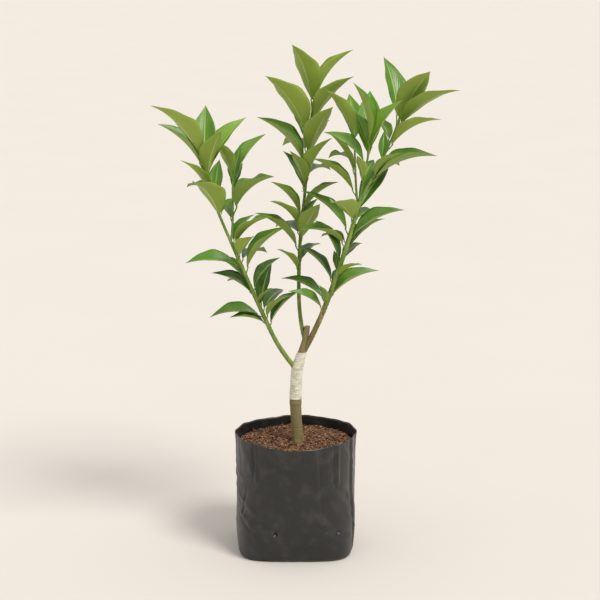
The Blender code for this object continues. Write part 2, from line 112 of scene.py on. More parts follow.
# Camera of the photograph, and where its key light comes from
CAMERA_PLACE = (0.0058, -2.0, 0.7820)
CAMERA_TILT = math.radians(90.0 - 12.72)
CAMERA_LENS = 96.44
CAMERA_SENSOR = 36.0
KEY_FROM = (0.62, -0.62, 1.0)
KEY_SPREAD = math.radians(22.0)

# Height above the soil, and width, of the bark's upper and lower rings and of the callus
SCAR_RING = (0.0195, 0.0007)
GRAFT_RING = (0.0520, 0.0016)
CALLUS = (0.1000, 0.0030)
CALLUS_SIDE = math.pi * 1.08

# Node rings on each bough, as parts of its length, and how brown its bark is
BOUGH_LOOKS = {
    "left_bough": ((0.52,), 0.1),
    "middle_bough": ((0.35, 0.74), 0.3),
    "right_bough": ((0.45, 0.8), 1.0),
}

# Creases of the bag's film, unrolled from the middle of its front: start across and up, end
# across and up, width, depth
BAG_CREASES = (
    (-0.0605, 0.155, -0.0590, 0.118, 0.0022, 0.0017),
    (0.0567, 0.155, 0.0555, 0.108, 0.0024, 0.0019),
    (0.0904, 0.150, 0.0880, 0.010, 0.0032, 0.0015),
    (-0.1080, 0.080, -0.0200, 0.042, 0.0040, 0.0013),
    (-0.1000, 0.062, -0.0350, 0.030, 0.0030, 0.0010),
    (-0.0360, 0.140, -0.0100, 0.118, 0.0060, 0.0015),
    (-0.0080, 0.120, 0.0120, 0.136, 0.0050, 0.0011),
    (0.0200, 0.100, 0.0500, 0.070, 0.0060, 0.0010),
    (0.0300, 0.050, 0.0750, 0.025, 0.0040, 0.0010),
)


@dataclass
class Limb:
    """One tapering limb: a smooth curve from start to end that leaves in the way `leaves`."""

    name: str
    start: tuple
    end: tuple
    leaves: tuple
    arrives: tuple
    radius: tuple
    plan: str = ""
    seed: int = 0


BOUGHS = (
    Limb("left_bough", (0.0000, 0.0, 0.240), (-0.0300, -0.006, 0.288),
         (-0.75, -0.1, 1.0), (-0.45, -0.1, 1.0), (0.0032, 0.0027)),
    Limb("middle_bough", (0.0122, 0.0, 0.277), (0.0042, 0.016, 0.350),
         (-0.30, 0.25, 1.0), (0.0, 0.15, 1.0), (0.0027, 0.0024)),
    Limb("right_bough", (0.0098, 0.0, 0.262), (0.0342, -0.008, 0.315),
         (0.55, -0.1, 1.0), (0.38, -0.1, 1.0), (0.0038, 0.0033)),
)
SHOOTS = (
    Limb("left_lower_shoot", (-0.0300, -0.006, 0.288), (-0.0830, -0.024, 0.416),
         (-0.45, -0.1, 1.0), (-0.42, -0.1, 1.0), (0.0027, 0.0020),
         "7.6s2.2 1.4s5.6 9.3s4.4 1.4f5.1 8.9s6.3 2bb5 .5b5.9 . 1.5f3.2 . 9.9s5.4 1.3s5.2 9bb5"
         " 10.2s4.9 . . 1.4s7.4 . 9.1s6.4 3bb5 1ff6.4 . . 1.6f7.1 1.4b4.4 9.9s6.8", 3),
    Limb("left_outer_shoot", (-0.0838, -0.0243, 0.418), (-0.1130, -0.044, 0.512),
         (-0.40, -0.2, 1.0), (-0.16, -0.2, 1.0), (0.0018, 0.0012),
         ". . . 11.1f7.5 . 2bb5 . . .2b5.4 . 10.8f6.4 9bb5 . . .6f7.2 1.2s7.6 12b8.2 10.5s7.0"
         " 10.8f9.8", 5),
    Limb("left_inner_shoot", (-0.0805, -0.0230, 0.412), (-0.0785, 0.008, 0.492),
         (0.15, 0.3, 1.0), (0.05, 0.3, 1.0), (0.0015, 0.0011),
         ". . . . 10bb5 . 1.5s6.8 . . 11.4ff6.6 2bb5 . .7b3.6 .4b5.3 1.2s6.4 11.2f5.8 .", 6),
    Limb("middle_lower_shoot", (0.0042, 0.016, 0.350), (0.0115, 0.033, 0.458),
         (0.0, 0.15, 1.0), (0.12, 0.15, 1.0), (0.0024, 0.0019),
         ". . 10.7f4.5 . 2bb5 . . 10.4s6.9 . .8f6.3 . 9bb5 10.6f6.0 1.1b4.2 . 10.7s5.9 . 1.6s5.4"
         " . . .", 13),
    Limb("middle_upper_shoot", (0.0116, 0.033, 0.459), (0.0245, 0.041, 0.584),
         (0.10, 0.1, 1.0), (0.22, 0.0, 1.0), (0.0019, 0.0012),
         "11b6.1 11.3f6.0 .9s6.4 . 3bb5 . 10.5s8.1 . .8f8.3 . 9bb5 11.1b6.2 . 10.9f10.6 2bb5 ."
         " 1.3f9.0 . 10bb5 . . 11.4f8.8 1.2s7.7 11.2b5.9", 21),
    Limb("right_lower_shoot", (0.0342, -0.008, 0.315), (0.0800, -0.022, 0.462),
         (0.38, -0.1, 1.0), (0.24, -0.1, 1.0), (0.0033, 0.0024),
         "10s4.7 11.5f3.4 9.8b6.6 2.1s6.4 . 2bb5 . 10.4b6.8 . 1.9f3.9 11.7b2.8 . 11b6.8 2bb5 ."
         " 1.8b6.9 . 9.8f6.7 9bb5 2.1s6.9 10.3b8.4 . . 10.7ff7.4 3bb5 1.3s6.8 . . .", 34),
    Limb("right_outer_shoot", (0.0808, -0.0222, 0.4635), (0.1300, 0.010, 0.562),
         (0.55, 0.2, 1.0), (0.30, 0.2, 1.0), (0.0019, 0.0012),
         ". . . . 2.3s8.1 1.5s4.7 . 3bb5 . . .2b3.9 . . 1.9f8.0 . 11bb5 . . 1.8f9.4 .9f8.6"
         " 11.6b8.5 .", 55),
    Limb("right_centre_shoot", (0.0790, -0.0217, 0.458), (0.0905, -0.048, 0.536),
         (0.10, -0.35, 1.0), (0.05, -0.3, 1.0), (0.0016, 0.0011),
         ". . . . 1bb5 . 11.5f3.5 . . . 10.2s6.1 .1b8.5 11.8b5.2 1.1s6.8 11.3s4.3 11.5s7.3", 89),
    Limb("right_inner_shoot", (0.0780, -0.0214, 0.455), (0.0735, 0.012, 0.540),
         (-0.15, 0.35, 1.0), (-0.08, 0.3, 1.0), (0.0015, 0.0011),
         ". . 10.3s6.5 . . 2bb5 . 10.9f6.7 . . 9bb5 . . . . 11.8b6.2 11f7.8 .", 144),
)


class BagSettings(bpy.types.PropertyGroup):
    """Sizes of the grow bag's film and of its filling."""

    columns: bpy.props.IntProperty(
        name="Columns", description="Points round the bag", default=400, min=36)
    rows: bpy.props.IntProperty(name="Rows", description="Points up its wall", default=140, min=20)
    film: bpy.props.FloatProperty(
        name="Film", description="Thickness of the film", default=0.0009, unit="LENGTH")
    chips: bpy.props.IntProperty(name="Chips", description="Coir chips on top", default=2600)
    fibres: bpy.props.IntProperty(name="Fibres", description="Loose coir fibres", default=420)


class WoodSettings(bpy.types.PropertyGroup):
    """Detail of the trunk, its tape and the boughs."""

    sides: bpy.props.IntProperty(name="Sides", description="Points round a limb", default=64)
    relief: bpy.props.FloatProperty(
        name="Bark relief", description="Depth of the bark", default=0.00028, unit="LENGTH")
    tape_turns: bpy.props.FloatProperty(
        name="Tape turns", description="Turns of tape round the trunk", default=9.0)


class LeafSettings(bpy.types.PropertyGroup):
    """Detail of the leaves."""

    rows: bpy.props.IntProperty(name="Rows", description="Points along a leaf", default=26)
    columns: bpy.props.IntProperty(name="Columns", description="Points across it", default=11)
    thickness: bpy.props.FloatProperty(
        name="Thickness", description="Thickness of a leaf", default=0.0005, unit="LENGTH")
    wave: bpy.props.FloatProperty(
        name="Wave", description="Height of the margin's waves per length", default=0.010)


class StageSettings(bpy.types.PropertyGroup):
    """The floor, the lights and the camera."""

    floor: bpy.props.FloatProperty(
        name="Floor", description="Half the floor's width", default=60.0, unit="LENGTH")
    key: bpy.props.FloatProperty(name="Key light", description="Strength of the key", default=2.3)
    fill: bpy.props.FloatProperty(name="Fill light", description="World strength", default=0.80)


def unit(vector):
    """The vector at length one."""
    return vector / np.linalg.norm(vector)


def linear(red, green, blue):
    """A display colour out of 255 as linear light with full alpha."""
    share = np.array([red, green, blue]) / 255.0
    return (*np.where(share <= 0.04045, share / 12.92, ((share + 0.055) / 1.055) ** 2.4), 1.0)


def add_node(tree, kind, sockets=None, **settings):
    """A shader node with its settings, its sockets set to values or linked to other sockets."""
    made = tree.nodes.new(kind)
    for key, value in settings.items():
        setattr(made, key, value)
    for key, value in (sockets or {}).items():
        if isinstance(value, bpy.types.NodeSocket):
            tree.links.new(value, made.inputs[key])
        else:
            made.inputs[key].default_value = value
    return made


def mixed(tree, factor, first, second, blend="MIX"):
    """The colour between two colours or sockets at a factor."""
    mix = add_node(tree, "ShaderNodeMix", {0: factor, 6: first, 7: second},
                   data_type="RGBA", blend_type=blend)
    return mix.outputs[2]


def ranged(tree, value, low, high, new_low=0.0, new_high=1.0):
    """A value mapped smoothly from one range to another."""
    sockets = {0: value, 1: low, 2: high, 3: new_low, 4: new_high}
    return add_node(tree, "ShaderNodeMapRange", sockets, interpolation_type="SMOOTHSTEP").outputs[0]


def noise(tree, scale, detail=4.0, stretch=(1.0, 1.0, 1.0)):
    """Noise over Object coordinates, stretched along the axes."""
    place = add_node(tree, "ShaderNodeTexCoord").outputs["Object"]
    turned = add_node(tree, "ShaderNodeMapping", {0: place, 3: stretch}).outputs[0]
    return add_node(tree, "ShaderNodeTexNoise", {"Vector": turned, "Scale": scale,
                                                 "Detail": detail}).outputs[0]


def attribute(tree, name):
    """The value of a mesh attribute."""
    return add_node(tree, "ShaderNodeAttribute", attribute_name=name).outputs["Fac"]


def height_of(tree):
    """The height above the floor at each point."""
    place = add_node(tree, "ShaderNodeTexCoord").outputs["Object"]
    return add_node(tree, "ShaderNodeSeparateXYZ", {0: place}).outputs[2]


def new_material(name, build):
    """A material whose nodes are laid by a function that gets its tree and its main shader."""
    made = bpy.data.materials.get(name)
    if made:
        return made
    made = bpy.data.materials.new(name)
    made.use_nodes = True
    tree = made.node_tree
    build(tree, tree.nodes["Principled BSDF"])
    return made


def paint(tree, shader, colour, roughness, bump=None, strength=0.3, distance=0.001):
    """Sets the shader's colour, its roughness and its bump."""
    for key, value in (("Base Color", colour), ("Roughness", roughness)):
        if isinstance(value, bpy.types.NodeSocket):
            tree.links.new(value, shader.inputs[key])
        else:
            shader.inputs[key].default_value = value
    if bump is not None:
        sockets = {"Height": bump, "Strength": strength, "Distance": distance}
        raised = add_node(tree, "ShaderNodeBump", sockets)
        tree.links.new(raised.outputs[0], shader.inputs["Normal"])


def film_nodes(tree, shader):
    """Black film: near black, lighter in patches of painted grey reflection, with a fine grain in
    its gloss.
    """
    # Lighter patches of painted grey reflection over the near-black film colour.
    reflection_patches = ranged(tree, noise(tree, 60, 6), 0.45, 0.75)
    colour = mixed(tree, reflection_patches, linear(27, 27, 26), linear(46, 45, 42))
    rough = ranged(tree, noise(tree, 25, 5), 0.3, 0.7, 0.26, 0.42)
    paint(tree, shader, colour, rough, noise(tree, 320, 3, (1, 1, 0.4)), 0.25, 0.0006)


def coir_nodes(tree, shader):
    """Coir: reddish brown by chip, with darker pores."""
    tone = attribute(tree, "tone")
    colour = mixed(tree, tone, linear(74, 44, 30), linear(196, 146, 104))
    pores = ranged(tree, noise(tree, 900, 5), 0.35, 0.6)
    colour = mixed(tree, pores, linear(52, 30, 22), colour)
    paint(tree, shader, colour, 0.92, noise(tree, 1200, 4), 0.6, 0.0006)


def bark_nodes(tree, shader):
    """Bark: green at the foot and the neck, olive brown between, with pale lenticels."""
    high = height_of(tree)
    brown = mixed(tree, noise(tree, 90, 6, (1, 1, 0.35)), linear(84, 66, 34), linear(150, 128, 78))
    green = mixed(tree, noise(tree, 120, 5), linear(74, 96, 30), linear(136, 150, 66))
    foot = ranged(tree, high, 0.148, 0.166, 0.75, 0.0)
    neck = ranged(tree, high, 0.256, 0.268)
    colour = mixed(tree, foot, brown, green)
    colour = mixed(tree, neck, colour, green)
    cut = ranged(tree, high, SOIL_LEVEL + 0.1515, SOIL_LEVEL + 0.1535)
    colour = mixed(tree, cut, colour, linear(138, 96, 62))
    spots = ranged(tree, noise(tree, 700, 2, (1, 1, 0.5)), 0.66, 0.72)
    colour = mixed(tree, spots, colour, linear(176, 162, 120))
    paint(tree, shader, colour, 0.72, noise(tree, 420, 6, (1, 1, 0.3)), 0.55, 0.0007)


def limb_nodes(tree, shader):
    """Young bark: green, browner low down and in streaks along the limb."""
    high = height_of(tree)
    streak = ranged(tree, noise(tree, 150, 4, (1, 1, 0.2)), 0.45, 0.62)
    green = mixed(tree, streak, linear(92, 126, 34), linear(128, 146, 62))
    brown = mixed(tree, streak, linear(104, 92, 44), linear(142, 128, 76))
    colour = mixed(tree, ranged(tree, high, 0.30, 0.40), brown, green)
    side = attribute(tree, "brown")
    colour = mixed(tree, side, green, colour)
    paint(tree, shader, colour, 0.5, noise(tree, 500, 4, (1, 1, 0.3)), 0.3, 0.0004)


def tape_nodes(tree, shader):
    """Stretched clear tape: milky, streaked, with the bark's tint showing in patches."""
    tint = ranged(tree, noise(tree, 110, 5, (1, 1, 2.2)), 0.5, 0.72, 0.0, 0.75)
    colour = mixed(tree, tint, linear(206, 202, 184), linear(146, 148, 96))
    streak = ranged(tree, noise(tree, 260, 3, (0.4, 0.4, 5.0)), 0.56, 0.7, 0.0, 0.6)
    colour = mixed(tree, streak, colour, linear(238, 238, 232))
    paint(tree, shader, colour, 0.28, noise(tree, 240, 4, (0.5, 0.5, 5.0)), 0.6, 0.0008)
    shader.inputs["Subsurface Weight"].default_value = 0.15
    shader.inputs["Subsurface Radius"].default_value = (0.002, 0.002, 0.0015)


def leaf_top_nodes(tree, shader):
    """A leaf's upper side: green by its age and by painted light and shade from its lean, with a
    pale midrib and faint side veins.
    """
    tone, along = attribute(tree, "tone"), attribute(tree, "along")
    off = attribute(tree, "off_middle")
    young = ranged(tree, tone, 0.45, 1.0)
    colour = mixed(tree, ranged(tree, tone, 0.0, 0.5), linear(30, 74, 16), linear(78, 128, 20))
    colour = mixed(tree, young, colour, linear(150, 182, 34))
    blotch = ranged(tree, noise(tree, 70, 4), 0.35, 0.7, 0.0, 0.28)
    colour = mixed(tree, blotch, colour, linear(120, 150, 40))
    reach = add_node(tree, "ShaderNodeMath", {0: off, 1: 0.75}, operation="MULTIPLY").outputs[0]
    order = add_node(tree, "ShaderNodeMath", {0: along, 1: reach}, operation="SUBTRACT").outputs[0]
    phase = add_node(tree, "ShaderNodeMath", {0: order, 1: 62.0}, operation="MULTIPLY").outputs[0]
    wave = add_node(tree, "ShaderNodeMath", {0: phase}, operation="SINE").outputs[0]
    vein = ranged(tree, wave, 0.86, 1.0, 0.0, 0.30)
    colour = mixed(tree, vein, colour, linear(150, 176, 80))
    rib = ranged(tree, off, 0.03, 0.075, 0.75, 0.0)
    colour = mixed(tree, rib, colour, linear(172, 194, 104))
    tip = ranged(tree, along, 0.965, 1.0, 0.0, 0.7)
    colour = mixed(tree, tip, colour, linear(120, 92, 40))
    rough = ranged(tree, tone, 0.1, 0.9, 0.30, 0.50)
    paint(tree, shader, colour, rough, wave, 0.10, 0.0005)


def leaf_under_nodes(tree, shader):
    """A leaf's underside: paler and duller, with a raised midrib."""
    tone, off = attribute(tree, "tone"), attribute(tree, "off_middle")
    # The tone carries the leaf's age and painted light and shade from its lean.
    colour = mixed(tree, tone, linear(104, 134, 52), linear(156, 176, 66))
    colour = mixed(tree, ranged(tree, noise(tree, 160, 4), 0.4, 0.7, 0.0, 0.3), colour,
                   linear(138, 156, 84))
    rib = ranged(tree, off, 0.03, 0.08, 0.8, 0.0)
    colour = mixed(tree, rib, colour, linear(184, 200, 120))
    paint(tree, shader, colour, 0.62, noise(tree, 500, 3), 0.15, 0.0003)


def floor_nodes(tree, shader):
    """A pale warm floor with a trace of grain."""
    grain = ranged(tree, noise(tree, 3, 3), 0.3, 0.7)
    colour = mixed(tree, grain, (0.668, 0.636, 0.600, 1), (0.676, 0.644, 0.608, 1))
    paint(tree, shader, colour, 0.9)
    shader.inputs["Specular IOR Level"].default_value = 0.1


def grid_faces(rows, columns, wrap):
    """Quads of a grid of points, joined round its columns where it wraps."""
    across = np.arange(columns if wrap else columns - 1)
    row, column = np.meshgrid(np.arange(rows - 1), across, indexing="ij")
    after = (column + 1) % columns
    low, high = row * columns, (row + 1) * columns
    return np.stack([low + column, low + after, high + after, high + column], -1).reshape(-1, 4)


def capped_grid(rings):
    """Points and faces of a closed skin over rings (rows, columns, 3), a fan at either end."""
    rows, columns = rings.shape[:2]
    ends = np.stack([rings[0].mean(axis=0), rings[-1].mean(axis=0)])
    points = np.concatenate([rings.reshape(-1, 3), ends])
    first, last = rows * columns, rows * columns + 1
    k = np.arange(columns)
    low = np.stack([(k + 1) % columns, k, np.full(columns, first)], -1)
    top = (rows - 1) * columns
    high = np.stack([top + k, top + (k + 1) % columns, np.full(columns, last)], -1)
    return points, [*grid_faces(rows, columns, True).tolist(), *low.tolist(), *high.tolist()]


def joined(parts):
    """Points and faces of several meshes as one."""
    points, faces, start = [], [], 0
    for some, their_faces in parts:
        points.append(some)
        faces += [[start + k for k in face] for face in their_faces]
        start += len(some)
    return np.concatenate(points), faces


def put(name, points, faces, materials, nodes, values=None, which=None):
    """A finished piece: its mesh, its point attributes, its materials and its place in the frame."""
    mesh = bpy.data.meshes.new(name)
    mesh.from_pydata(np.asarray(points).tolist(), [], faces)
    for material in materials:
        mesh.materials.append(material)
    if which is not None:
        mesh.polygons.foreach_set("material_index", np.asarray(which, dtype=np.int32))
    for key, value in (values or {}).items():
        layer = mesh.attributes.new(key, "FLOAT", "POINT")
        layer.data.foreach_set("value", np.asarray(value, dtype=np.float32))
    mesh.shade_smooth()
    mesh.update()
    piece = bpy.data.objects.new(name, mesh)
    bpy.context.scene.collection.objects.link(piece)
    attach(piece, "root")
    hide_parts(*nodes)
    return piece


def limb_curve(limb, steps):
    """Points and radii of a limb: a cubic that leaves and arrives along the limb's two ways."""
    start, end = np.array(limb.start), np.array(limb.end)
    reach = np.linalg.norm(end - start)
    leave, arrive = unit(np.array(limb.leaves)) * reach, unit(np.array(limb.arrives)) * reach
    t = np.linspace(0, 1, steps + 1)[:, None]
    path = (
        (2 * t**3 - 3 * t**2 + 1) * start
        + (t**3 - 2 * t**2 + t) * leave
        + (3 * t**2 - 2 * t**3) * end
        + (t**3 - t**2) * arrive
    )
    return path, np.linspace(limb.radius[0], limb.radius[1], steps + 1)


def trunk_curve():
    """Points and radii of the trunk at its stations."""
    stations = np.array(TRUNK)
    path = np.column_stack([stations[:, 1], np.zeros(len(stations)),
                            stations[:, 0] + SOIL_LEVEL + GAP])
    return path, stations[:, 2]


@dataclass
class Leaf:
    """One leaf: where its stalk roots, where its blade starts and how the blade is turned."""

    root: np.ndarray
    base: np.ndarray
    along: np.ndarray
    top: np.ndarray
    across: np.ndarray
    length: float
    fold: float
    arch: float
    # The tone holds the leaf's age and painted light and shade from its lean.
    tone: float = 0.5

    def midrib(self, s):
        """The midrib's points at parts s of the blade: a chord bowed towards the top side."""
        bow = self.arch * (4 * s * (1 - s) - 0.35 * s**3)
        return self.base + self.length * (s[:, None] * self.along + bow[:, None] * self.top)

    def half_width(self, s):
        """Half the flat width at parts s: widest below the middle, drawn out to a point."""
        return 0.5 * LEAF_WIDTH * self.length * np.sin(math.pi * s**LEAF_WIDEST) ** 1.1

    def surface(self, s, u):
        """Points at parts s along and u across, from -1 to 1: two halves folded up in a V."""
        rise = np.abs(u) * math.sin(self.fold)
        out = u * math.cos(self.fold)
        width = self.half_width(s)[:, None]
        return self.midrib(s) + width * (out[:, None] * self.across + rise[:, None] * self.top)


def grow_leaf(mark, at, tangent, turn, rng_row):
    """A leaf from its mark in the plan, turned by an angle about the upright."""
    hour, lean, size = mark
    spread, roll, curl, scale = rng_row
    angle = math.radians(30.0 * hour)
    steps = lean.count("f") - lean.count("b")
    planned = LEAN_STEP * steps * (1.0 if abs(steps) < 2 else 0.9)
    tilt = planned + 0.10 * spread + turn
    tilt = max(-MOST_TILT, min(MOST_TILT, tilt))
    stretch = min(MOST_STRETCH, math.cos(planned) / math.cos(tilt))
    length = size * 0.01 * (1 + 0.03 * scale) * stretch
    flat = np.array([math.sin(angle), 0.0, math.cos(angle)])
    along = unit(flat * math.cos(tilt) + TO_VIEWER * math.sin(tilt))
    top = unit(UP + 0.5 * tangent - np.dot(UP + 0.5 * tangent, along) * along)
    across = np.cross(along, top)
    if np.dot(across, TO_VIEWER) < 0:
        across = -across
    rolled = math.radians(18.0 if lean == "s" else 0.0) + math.radians(9.0) * roll
    top, across = (
        top * math.cos(rolled) + across * math.sin(rolled),
        across * math.cos(rolled) - top * math.sin(rolled),
    )
    fold = math.radians(40.0 if lean == "s" else 24.0) + math.radians(5.0) * curl
    arch = 0.05 + 0.05 * abs(math.sin(angle)) + 0.01 * curl
    stalk = unit(0.6 * tangent + along + 3.0 * arch * top)
    base = at + stalk * PETIOLE * length
    return Leaf(at, base, along, top, across, length, fold, arch)


def leaf_samples(leaf):
    """Points all over a blade, which the rule measures its room from."""
    s, u = np.meshgrid(np.linspace(0.04, 1.0, 10), np.linspace(-1, 1, 5), indexing="ij")
    return leaf.surface(s.ravel(), u.ravel())


def nearest(points, others):
    """The least distance between two clouds of points."""
    if not len(others):
        return math.inf
    return math.sqrt(((points[:, None, :] - others[None, :, :]) ** 2).sum(axis=2).min())


def has_room(samples, stalk, limb, wood, other_leaves, own_leaves, at):
    """Whether a blade stays in its shoot's space and clear of limbs and of other leaves."""
    spine = limb_curve(limb, 8)[0]
    gaps = np.sqrt(((samples[:, None, :] - spine[None, :, :]) ** 2).sum(axis=2)).min(axis=1)
    if gaps.max() > SHOOT_REACH or samples[:, 2].min() < BAG_HEIGHT:
        return False
    free = np.linalg.norm(samples - at, axis=1) > ROOT_ROOM
    for name, (path, radii) in wood.items():
        near = samples[free] if name == limb.name else samples
        reach = np.sqrt(((near[:, None, :] - path[None, :, :]) ** 2).sum(axis=2)) - radii
        if reach.min() < LIMB_ROOM:
            return False
        reach = np.sqrt(((stalk[:, None, :] - path[None, :, :]) ** 2).sum(axis=2)) - radii
        if name != limb.name and reach.min() < STALK_ROOM:
            return False
    if nearest(samples, other_leaves) < OTHER_LEAF_ROOM:
        return False
    return nearest(samples[free], own_leaves) > OWN_LEAF_ROOM


def read_plan(plan):
    """The plan's marks: None for a dropped leaf, else its hour, its lean and its length."""
    marks = []
    for word in plan.split():
        found = re.fullmatch(r"([\d.]+?)([sfb]+)([\d.]+)", word)
        marks.append((float(found[1]), found[2], float(found[3])) if found else None)
    return marks


def grow_leaves():
    """Every shoot's leaves and bud places, by name, grown by the solids' own rule."""
    wood = {"trunk": trunk_curve()}
    for limb in (*BOUGHS, *SHOOTS):
        wood[limb.name] = limb_curve(limb, steps=40)
    grown, clouds, buds = {}, {}, {}
    for limb in SHOOTS:
        rng = np.random.default_rng(limb.seed)
        marks = read_plan(limb.plan)
        path = wood[limb.name][0]
        parts = np.linspace(0.02, 0.95, len(marks)) * (len(path) - 1)
        ways = np.gradient(path, axis=0)
        leaves, cloud = [], np.empty((0, 3))
        others = np.concatenate([np.empty((0, 3)), *clouds.values()])
        tones = np.random.default_rng(limb.seed + 1000).uniform(-1, 1, len(marks))
        buds[limb.name] = parts / (len(path) - 1)
        rows = rng.uniform(-1, 1, (len(marks), 4))
        for mark, part, row, shade in zip(marks, parts, rows, tones):
            if mark is None:
                continue
            at = np.array([np.interp(part, np.arange(len(path)), path[:, k]) for k in range(3)])
            tangent = unit(ways[int(part)])
            for turn in TURNS:
                leaf = grow_leaf(mark, at, tangent, turn, row)
                samples = leaf_samples(leaf)
                stalk = leaf.root + STALK_PARTS * (leaf.base - leaf.root)
                if has_room(samples, stalk, limb, wood, others, cloud, at):
                    age = (at[2] - 0.30) / 0.30
                    leaf.tone = 0.18 + 0.52 * age + 0.18 * shade
                    # Painted light and shade: leaves leaning towards the viewer and lamp are made
                    # paler, leaves leaning back darker.
                    leaf.tone += 0.10 * mark[1].count("f") - 0.14 * mark[1].count("b")
                    leaf.tone = min(max(leaf.tone, 0.02), 1.0)
                    leaves.append(leaf)
                    far = np.linalg.norm(samples - at, axis=1) > ROOT_ROOM
                    cloud = np.concatenate([cloud, samples[far]])
                    break
        grown[limb.name], clouds[limb.name] = leaves, cloud
    return grown, buds


def leaf_skin(leaf, rows, columns, thickness, wave, phase):
    """A closed thin blade: the V-folded surface, its margin waved by a sine of three turns that
    grows with the square of the way out, with a second face a thickness below the first."""
    s = 0.5 - 0.5 * np.cos(np.linspace(0.02, 1.0, rows) * math.pi)
    s = np.clip(s, 0.004, 0.9985)
    u = np.linspace(-1, 1, columns)
    grid_s, grid_u = np.meshgrid(s, u, indexing="ij")
    flat_s, flat_u = grid_s.ravel(), grid_u.ravel()
    upper = leaf.surface(flat_s, flat_u)
    swell = np.sin(2 * math.pi * 3 * flat_s + phase + 0.9 * np.sign(flat_u)) * flat_u**2
    belly = 0.35 * np.abs(flat_u) * (1 - np.abs(flat_u)) * leaf.half_width(flat_s)
    taper = np.sin(math.pi * flat_s)
    lift = wave * leaf.length * swell * taper - belly * math.cos(leaf.fold)
    upper = upper + lift[:, None] * leaf.top
    thick = thickness * (1 - 0.75 * np.abs(flat_u) ** 3) * (0.35 + 0.65 * taper)
    thick = thick + 0.0007 * np.exp(-((flat_u / 0.10) ** 2)) * (1 - 0.8 * flat_s)
    lower = upper - thick[:, None] * leaf.top
    points = np.concatenate([upper, lower])
    top = grid_faces(rows, columns, False)
    below = top[:, ::-1] + rows * columns
    start = np.arange(columns - 1)
    edge = np.arange(rows - 1) * columns
    far, count = columns - 1, rows * columns
    last = (rows - 1) * columns + start
    sides = np.concatenate([
        np.stack([edge, edge + columns, edge + columns + count, edge + count], -1),
        np.stack([edge + far + columns, edge + far, edge + far + count,
                  edge + far + columns + count], -1),
        np.stack([start + 1, start, start + count, start + 1 + count], -1),
        np.stack([last, last + 1, last + 1 + count, last + count], -1),
    ])
    faces = np.concatenate([top, below, sides])
    which = np.concatenate([np.zeros(len(top)), np.ones(len(below) + len(sides))])
    if np.dot(np.cross(leaf.along, leaf.across), leaf.top) > 0:
        faces = faces[:, ::-1]
    return points, faces, which, np.tile(flat_s, 2), np.tile(np.abs(flat_u), 2)


def swept(path, radii, sides):
    """Rings square to a path, one per point: the centre plus the radius times the cosine and the
    sine of the turn along two ways square to the tangent. One radius a ring, or one a side."""
    tangents = np.gradient(path, axis=0)
    tangents /= np.linalg.norm(tangents, axis=1)[:, None]
    side = np.cross(tangents, TO_VIEWER + 0.01 * UP)
    side /= np.linalg.norm(side, axis=1)[:, None]
    other = np.cross(tangents, side)
    turn = np.linspace(0, 2 * math.pi, sides, endpoint=False)
    radii = np.broadcast_to(np.reshape(radii, (len(path), -1)), (len(path), sides))
    spoke = (np.cos(turn)[None, :, None] * side[:, None, :]
             + np.sin(turn)[None, :, None] * other[:, None, :])
    return path[:, None, :] + radii[:, :, None] * spoke


def stalk_skin(leaf, sides=8, steps=9):
    """A petiole: a curve from inside the stem to the blade's base, widening at both ends."""
    t = np.linspace(0, 1, steps)[:, None]
    into = leaf.base + 0.03 * leaf.length * leaf.along - 0.0006 * leaf.top
    sag = -0.06 * leaf.length * PETIOLE * np.sin(math.pi * t) * UP
    path = leaf.root * (1 - t) + into * t + sag
    width = 0.00075 + 0.0005 * np.exp(-((t[:, 0] - 0.12) / 0.1) ** 2)
    return capped_grid(swept(path, width * (leaf.length / 0.07) ** 0.5, sides))


def bag_radius(angles, height):
    """The bag's radius at each angle and height: a superellipse whose power falls from square at
    the foot to round at the rim, with three slow waves and two pleats that grow with height."""
    up = np.clip(height / BAG_HEIGHT, 0.0, 1.0)
    widen = np.sin(math.pi / 2 * np.minimum(height / FOOT_TAPER, 1.0))
    half = [FOOT_HALF[k] + (BAG_HALF[k] - FOOT_HALF[k]) * widen for k in range(2)]
    power = 2.0 + FOOT_SQUARENESS * (1.0 - up) ** 4
    cos, sin = np.abs(np.cos(angles)) / half[0], np.abs(np.sin(angles)) / half[1]
    radius = (cos**power + sin**power) ** (-1.0 / power)
    pleat = np.exp(-(((np.abs(np.cos(angles)) - 1.0) / 0.008) ** 2))
    waves = RIM_WAVE * np.sin(3 * angles + 0.6) * 0.5 + RIM_PLEAT * pleat
    return radius + waves * up**5


